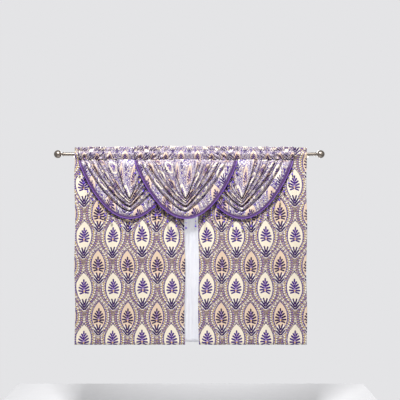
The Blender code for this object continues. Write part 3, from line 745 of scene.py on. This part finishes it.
# Swags: each is one cloth cut wide and gathered up at both ends, so that it falls in nested V folds
# below a flat middle, with a smooth band above its edge. The fold lines repeat the frame's: each is its
# half width to the left and right, its depth and its relief from 0, a valley, to 1, a crest.
SWAG_ROWS = (
    (0.040, 0.040, 0.000, 0.30),
    (0.052, 0.052, 0.050, 0.40),
    (0.075, 0.075, 0.180, 0.55),
    (0.104, 0.098, 0.316, 1.00),
    (0.118, 0.112, 0.331, 0.25),
    (0.165, 0.142, 0.339, 0.85),
    (0.212, 0.171, 0.347, 0.00),
    (0.243, 0.198, 0.357, 0.90),
    (0.271, 0.224, 0.367, 0.00),
    (0.305, 0.257, 0.380, 1.00),
    (0.336, 0.289, 0.394, 0.00),
    (0.366, 0.318, 0.416, 1.00),
    (0.392, 0.350, 0.438, 0.05),
    (0.408, 0.388, 0.458, 0.70),
    (0.420, 0.420, 0.477, 0.35),
)
OPEN_ROW = 11
SWAG_RELIEF = 0.029
EDGE_RELIEF = 0.0056
TROUGH = 0.15
TRENCH = 0.13
SEAM_GAP = 0.0008
FOLD_FULLNESS = 1.6
PRINT_BELOW_SEAM = 0.08
SWAG_STAND_OFF = {"left": 0.0150, "middle": 0.0412, "right": 0.0150}
STAND_OFF_DEPTH = {"left": 0.075, "middle": 0.050, "right": 0.075}
RELIEF_DEPTH = 0.050
SWAG_COLUMNS = 104
FOLD_STEPS = 12


def row_round(row):
    """Powers and bends of a fold line, left and right: straight near the middle, round at the edge."""
    part = smooth_step((row - OPEN_ROW) / (len(SWAG_ROWS) - 1 - OPEN_ROW))
    return (1.35 + 0.65 * part, 0.86 + 0.02 * part), (1.10 + 0.90 * part, 0.80 + 0.08 * part)


def fold_line(across, left, right, depth, row):
    """Sideways place and depth of a fold line, with across running from -1 to 1."""
    (left_power, left_bend), (right_power, right_bend) = row_round(row)
    power = np.where(across < 0.0, left_power, right_power)
    bend = np.where(across < 0.0, left_bend, right_bend)
    reach = np.where(across < 0.0, left, right)
    inside = np.clip(1.0 - np.abs(across) ** power, 0.0, 1.0)
    return reach * across, depth * inside**bend


def stand_off(side, depth):
    """How far a swag's valleys stand forward of the rod's plane at a depth below its seam."""
    seam = LAYER_ROOM * (2 if side == "middle" else 1)
    return seam + (SWAG_STAND_OFF[side] - seam) * smooth_step(depth / STAND_OFF_DEPTH[side])


def fold_profile():
    """Rows across the cloth as (place among the fold lines, relief), each fold's lip hanging over."""
    table = np.array(SWAG_ROWS)
    rows = []
    for index in range(3):
        for step in range(6):
            part = step / 6.0
            rows.append((index + part, table[index, 3] * (1 - part) + table[index + 1, 3] * part))
    rows += [(3.0, 1.0), (3.2, 0.97), (3.45, 0.80), (3.6, 0.45), (3.7, 0.05), (3.85, -TROUGH)]
    roll = ((0.0, -TROUGH), (0.06, -0.12), (0.09, 0.42), (0.13, 0.80), (0.18, 0.74), (0.21, 0.36))
    roll += ((0.25, 0.32), (0.28, 0.66), (0.36, 0.90), (0.52, 1.0), (0.70, 0.96), (0.84, 0.80))
    roll += ((0.89, 0.50), (0.93, 0.08), (0.96, -0.12), (1.0, -TROUGH))
    for first in (4, 6, 8, 10):
        for part, amount in smooth_path(roll, 1.0 / FOLD_STEPS)[:-1]:
            rows.append((first + 2.0 * part, table[first + 1, 3] * amount))
    rows += [(12.0, -TROUGH), (12.04, -0.05), (12.12, 0.28), (12.4, 0.42), (12.8, 0.46)]
    for step in range(9):
        part = step / 8.0
        rows.append((13.0 + part, 0.44 * (1 - part) + 0.24 * part))
    return rows


def draped_swag(side):
    """The draped cloth of one swag on a grid that follows its fold lines."""
    table = np.array(SWAG_ROWS)
    centre = SWAG_CENTRES[side]
    across = np.sin(math.pi * (np.linspace(0.0, 1.0, SWAG_COLUMNS) - 0.5))
    rows = []
    gathered = []
    for place, relief in fold_profile():
        left, right, depth = [np.interp(place, np.arange(len(table)), column) for column in table.T[:3]]
        sideways, drop = fold_line(across, left, right, depth, place)
        swell = 0.85 + 0.15 * (1.0 - across * across)
        ripple = 0.0007 * np.sin(place * 9.0 + across * 7.0) * swell
        at_seam = 0.45 if place < 12.0 else 0.0
        grow = at_seam + (1.0 - at_seam) * smooth_step(drop / 0.030)
        if 3.5 < place < 12.1:
            sharp = 2.90 + 1.9 * np.exp(-((across / 0.36) ** 2))
            height = np.clip((relief + TROUGH) / (1.0 + TROUGH), 0.0, 1.0)
            relief = (1.0 + TRENCH) * height**sharp - TRENCH
        forward = stand_off(side, drop) + (SWAG_RELIEF * relief * swell + ripple) * grow
        up = POCKET_BOTTOM - SEAM_GAP - drop
        rows.append(np.stack([centre + sideways, ROD_Y - forward, up], axis=1))
        in_folds = smooth_step((place - 2.2) / 1.2) * smooth_step(12.6 - place)
        gathered.append(1.0 + FOLD_FULLNESS * float(in_folds))
    grid = np.array(rows)
    down = flat_lengths(grid, 0)
    steps = np.diff(down, axis=0) * np.array(gathered)[1:, None]
    down = np.vstack([down[:1], np.cumsum(steps, axis=0)])
    middle = SWAG_COLUMNS // 2
    along = flat_lengths(grid, 1)
    along = along - along[:, middle : middle + 1]
    uv = np.stack([along + REPEAT_WIDE / 4.0, -PRINT_BELOW_SEAM - down], axis=2)
    piece = cloth_piece(f"swag_cloth_{side}", grid, uv, swag_satin, f"swag_{side}")


# Braids: a flat woven plum braid sewn over each swag's cut edge. Its fine ribs run across it, with
# lighter crowns, and it has a soft dull sheen. A curve is its half width and its depth.
BRAID_CURVES = ((0.4000, 0.4660), (0.4240, 0.4805))
TAPE_CURVES = ((0.4246, 0.4811), (0.4340, 0.4910))
TRIM_START = 0.010
TRIM_LIFT_AT_SEAM = {"left": 0.0038, "middle": 0.0075, "right": 0.0038}
TRIM_LIFT = 0.0075
TRIM_CROWN = 0.0010
TRIM_THICK = 0.0015
TRIM_COLUMNS = 150


def trim_material(name, dark, bright, rib_mm):
    """Woven trim with ribs across it, lighter on each rib's crown. Real ribs are about 2 mm apart, too
    fine to show, so they are drawn coarser."""
    material, tree = blank_material(name)
    place = add(tree, "UVMap")
    wave_scale = 2.0 * math.pi / 20.0 / (rib_mm / 1000.0)
    ribs = add(tree, "TexWave", {"Vector": place, "Scale": wave_scale, "Distortion": 1.2, "Detail": 2.0})
    colour = add(tree, "Mix", {0: ribs, 6: linear(dark), 7: linear(bright)}, out=2, data_type="RGBA")
    relief = add(tree, "Bump", {"Strength": 0.5, "Distance": 0.0008, "Height": ribs})
    shader = add(
        tree,
        "BsdfPrincipled",
        {"Base Color": colour, "Roughness": 0.55, "Sheen Weight": 0.35, "Normal": relief},
    )
    add(tree, "OutputMaterial", {"Surface": shader})
    return material


plum_braid = trim_material("plum_woven_braid", "#351A48", "#5E3A78", 15.7)
violet_tape = trim_material("violet_woven_tape", "#5A3488", "#7C52B0", 12.6)


def trim_line(side, across, curve):
    """Points of a trim's curve (half width, depth) on the swag's edge, lifted clear of the cloth."""
    sideways, drop = fold_line(across, curve[0], curve[0], curve[1], len(SWAG_ROWS) - 1)
    swell = 0.18 + 0.82 * (1.0 - across * across)
    from_seam = drop + TRIM_START
    forward = stand_off(side, from_seam) + EDGE_RELIEF * swell * smooth_step(from_seam / RELIEF_DEPTH)
    seam_lift = TRIM_LIFT_AT_SEAM[side]
    forward = forward + seam_lift + (TRIM_LIFT - seam_lift) * smooth_step(drop / RELIEF_DEPTH)
    up = POCKET_BOTTOM - TRIM_START - drop
    return np.stack([SWAG_CENTRES[side] + sideways, ROD_Y - forward, up], axis=1)


def trim_band(name, side, curves, material, node):
    """A slightly crowned band between two curves along a swag's edge."""
    across = np.sin(math.pi * (np.linspace(0.0, 1.0, TRIM_COLUMNS) - 0.5))
    inner = trim_line(side, across, curves[0])
    outer = trim_line(side, across, curves[1])
    rows = []
    for part in np.linspace(0.0, 1.0, 7):
        line = inner * (1.0 - part) + outer * part
        line[:, 1] -= TRIM_CROWN * math.sin(math.pi * part)
        rows.append(line)
    grid = np.array(rows)
    uv = np.stack([flat_lengths(grid, 1), -flat_lengths(grid, 0)], axis=2)
    return cloth_piece(name, grid, uv, material, node, TRIM_THICK)


# Bead fringes: a violet tape with straight hanging strands of pearly violet and gold plastic beads on a
# thread, each strand ending in a large round bead. A bead is its distance down the thread, its radius,
# how far it is drawn out and its colour.
STRANDS = 17
STRAND_BEADS = (
    (0.010, 0.0032, 1.0, "violet"),
    (0.020, 0.0034, 1.0, "gold"),
    (0.034, 0.0042, 1.6, "violet"),
    (0.047, 0.0030, 1.0, "gold"),
    (0.060, 0.0030, 1.5, "violet"),
    (0.0765, 0.0084, 1.0, "violet"),
)
THREAD_LENGTH = 0.083
THREAD_RADIUS = 0.0007
BEAD_SIDES = 14
BEAD_RINGS = 9


def bead_material(name, colour, deep):
    """Pearly plastic bead: a clear gloss over a colour that darkens and clouds a little."""
    material, tree = blank_material(name)
    place = add(tree, "TexCoord", out=3)
    cloud = add(tree, "TexNoise", {"Vector": place, "Scale": 180.0, "Detail": 2.0})
    shade = add(tree, "Mix", {0: cloud, 6: linear(deep), 7: linear(colour)}, out=2, data_type="RGBA")
    shader = add(
        tree,
        "BsdfPrincipled",
        {"Base Color": shade, "Roughness": 0.22, "Coat Weight": 0.6, "Coat Roughness": 0.08},
    )
    add(tree, "OutputMaterial", {"Surface": shader})
    return material


violet_bead = bead_material("violet_pearl_beads", "#7A58E6", "#4A2BB0")
gold_bead = bead_material("gold_pearl_beads", "#F0DD8A", "#B89A3E")
BEAD_SLOTS = {"violet": 1, "gold": 2}


def ball(points, faces, place, radius, stretch):
    """Adds one bead to a list of points and faces."""
    base = len(points)
    for ring in range(BEAD_RINGS + 1):
        turn = math.pi * (0.04 + 0.92 * ring / BEAD_RINGS)
        for step in range(BEAD_SIDES):
            angle = 2.0 * math.pi * step / BEAD_SIDES
            flat = radius * math.sin(turn)
            points.append(
                (
                    place[0] + flat * math.cos(angle),
                    place[1] + flat * math.sin(angle),
                    place[2] + radius * stretch * math.cos(turn),
                )
            )
    for ring in range(BEAD_RINGS):
        for step in range(BEAD_SIDES):
            a = base + ring * BEAD_SIDES + step
            b = base + ring * BEAD_SIDES + (step + 1) % BEAD_SIDES
            faces.append((a, a + BEAD_SIDES, b + BEAD_SIDES, b))
    faces.append(tuple(base + step for step in range(BEAD_SIDES)))
    faces.append(tuple(base + BEAD_RINGS * BEAD_SIDES + step for step in reversed(range(BEAD_SIDES))))


def strand_tops(side):
    """Where the strands hang, evenly spaced along the tape's outer curve."""
    fine = np.linspace(-0.9975, 0.9975, 800)
    curve = trim_line(side, fine, TAPE_CURVES[1])
    length = np.concatenate([[0.0], np.cumsum(np.linalg.norm(np.diff(curve, axis=0), axis=1))])
    places = length[-1] * (np.arange(STRANDS) + 0.5) / STRANDS
    return np.stack([np.interp(places, length, curve[:, axis]) for axis in range(3)], axis=1)


def bead_strands(side):
    """All the strands of one swag's fringe as one mesh."""
    points = []
    faces = []
    colours = []
    for top in strand_tops(side):
        hang = top + np.array((0.0, 0.0, 0.002))
        before = len(faces)
        for level in (0.0, THREAD_LENGTH):
            for step in range(6):
                angle = math.pi * step / 3.0
                sideways = THREAD_RADIUS * math.cos(angle)
                forward = THREAD_RADIUS * math.sin(angle)
                points.append((hang[0] + sideways, hang[1] + forward, hang[2] - level))
        base = len(points) - 12
        for step in range(6):
            after = (step + 1) % 6
            faces.append((base + step, base + step + 6, base + after + 6, base + after))
        faces.append(tuple(base + step for step in range(6)))
        faces.append(tuple(base + 11 - step for step in range(6)))
        colours += [0] * (len(faces) - before)
        for drop, radius, stretch, colour in STRAND_BEADS:
            before = len(faces)
            ball(points, faces, hang - np.array((0.0, 0.0, drop)), radius, stretch)
            colours += [BEAD_SLOTS[colour]] * (len(faces) - before)
    name = f"bead_strands_{side}"
    piece = new_piece(name, points, faces, violet_tape, f"fringe_{side}")
    piece.data.materials.append(violet_bead)
    piece.data.materials.append(gold_bead)
    piece.data.polygons.foreach_set("material_index", colours)
    return piece


# Each swag is put together in the maker's order: heading, draped cloth, braid, tape and bead strands.
for swag_side in SWAG_CENTRES:
    swag_heading(swag_side)
    draped_swag(swag_side)
    trim_node = f"trim_{swag_side}"
    fringe_node = f"fringe_{swag_side}"
    braid_name = f"braid_{swag_side}"
    tape_name = f"fringe_tape_{swag_side}"
    braid = trim_band(braid_name, swag_side, BRAID_CURVES, plum_braid, trim_node)
    tape = trim_band(tape_name, swag_side, TAPE_CURVES, violet_tape, fringe_node)
    strands = bead_strands(swag_side)
